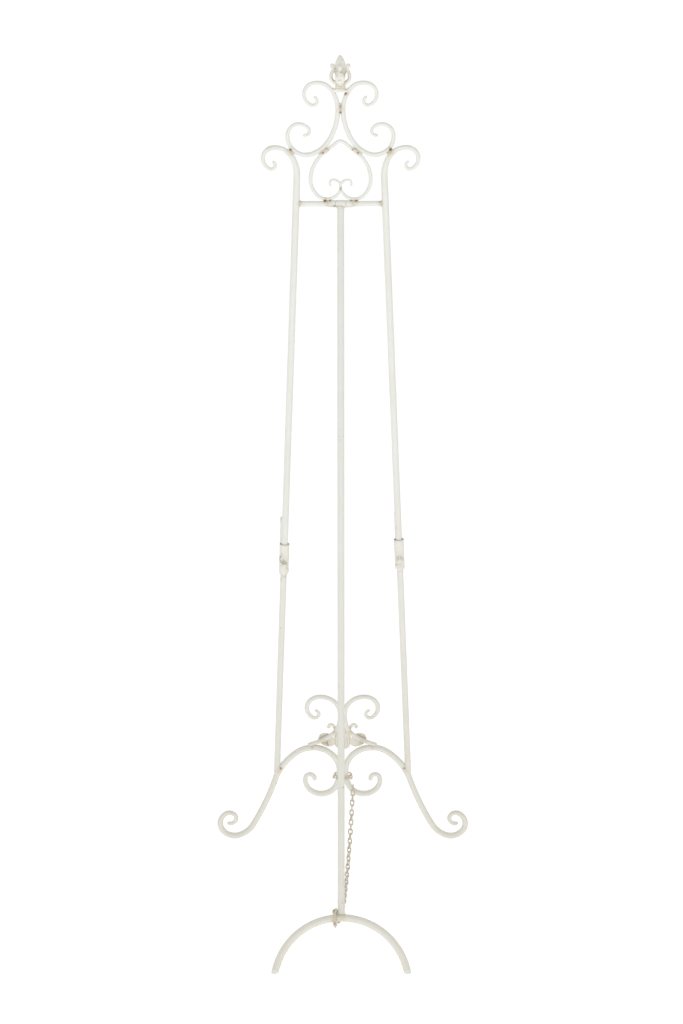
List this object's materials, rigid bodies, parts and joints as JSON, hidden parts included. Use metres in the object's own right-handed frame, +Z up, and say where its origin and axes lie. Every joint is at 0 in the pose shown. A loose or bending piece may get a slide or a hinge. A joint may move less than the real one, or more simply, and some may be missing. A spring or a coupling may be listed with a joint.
{
  "type": "display easel",
  "caption": "Free-standing wrought-iron display easel with scrollwork, a folding rear leg on a chain and two sliding hooks that hold a picture.",
  "frame": {"origin": "on the floor, in the middle of the easel's footprint", "axes": "+Z up, -Y towards the picture side, +Y towards the rear leg, X across"},
  "size_m": [0.5284, 0.6117, 1.6002],
  "materials": {
    "cream_paint": "satin, brushed on, lightly worn",
    "aged_paint": "matt, yellowed, with rust in the creases",
    "rusty_chain": "matt, worn paint over rust"
  },
  "bodies": {
    "frame": {"left_side_rod": "cream_paint", "right_side_rod": "cream_paint", "left_shoulder_scroll": "cream_paint", "right_shoulder_scroll": "cream_paint", "left_crest_scroll": "cream_paint", "right_crest_scroll": "cream_paint", "left_lower_scroll": "cream_paint", "right_lower_scroll": "cream_paint", "left_foot_scroll": "cream_paint", "right_foot_scroll": "cream_paint", "left_hinge_collar": "cream_paint", "right_hinge_collar": "cream_paint", "heart_scroll": "cream_paint", "crossbar": "cream_paint", "finial_seat": "aged_paint", "finial": "aged_paint", "fleur_plaque": "aged_paint", "chain_frame_wrap": "rusty_chain", "safety_chain": "rusty_chain"},
    "rear_leg": {"leg_tube": "cream_paint", "hinge_barrel": "cream_paint", "rear_foot_arch": "cream_paint", "left_foot_cap": "cream_paint", "right_foot_cap": "cream_paint", "chain_leg_wrap": "rusty_chain"},
    "left_hook": {"left_hook_sleeve": "aged_paint", "left_screw_boss": "aged_paint", "left_hook_arm": "aged_paint"},
    "left_screw": {"left_wing_screw": "aged_paint"},
    "right_hook": {"right_hook_sleeve": "aged_paint", "right_screw_boss": "aged_paint", "right_hook_arm": "aged_paint"},
    "right_screw": {"right_wing_screw": "aged_paint"}
  },
  "joints": [
    {"name": "rear_leg_fold", "type": "hinge", "parent": "frame", "child": "rear_leg", "pos_m": [0, -0.04, 1.34], "axis": [-1, 0, 0], "range_deg": [-1.5, 24], "deforming": ["safety_chain"]},
    {"name": "left_hook_slide", "type": "slide", "parent": "frame", "child": "left_hook", "axis": [0.0462, 0.1903, 0.9806], "range_m": [-0.4, 0.64]},
    {"name": "left_wing_screw_turn", "type": "hinge", "parent": "left_hook", "child": "left_screw", "pos_m": [-0.11353, -0.16013, 0.64212], "axis": [0, 0.9817, -0.1905], "range_deg": [0, 360]},
    {"name": "right_hook_slide", "type": "slide", "parent": "frame", "child": "right_hook", "axis": [-0.0462, 0.1903, 0.9806], "range_m": [-0.4, 0.64]},
    {"name": "right_wing_screw_turn", "type": "hinge", "parent": "right_hook", "child": "right_screw", "pos_m": [0.11308, -0.16207, 0.63227], "axis": [-0.061, 0.9793, -0.1929], "range_deg": [0, 360]}
  ]
}
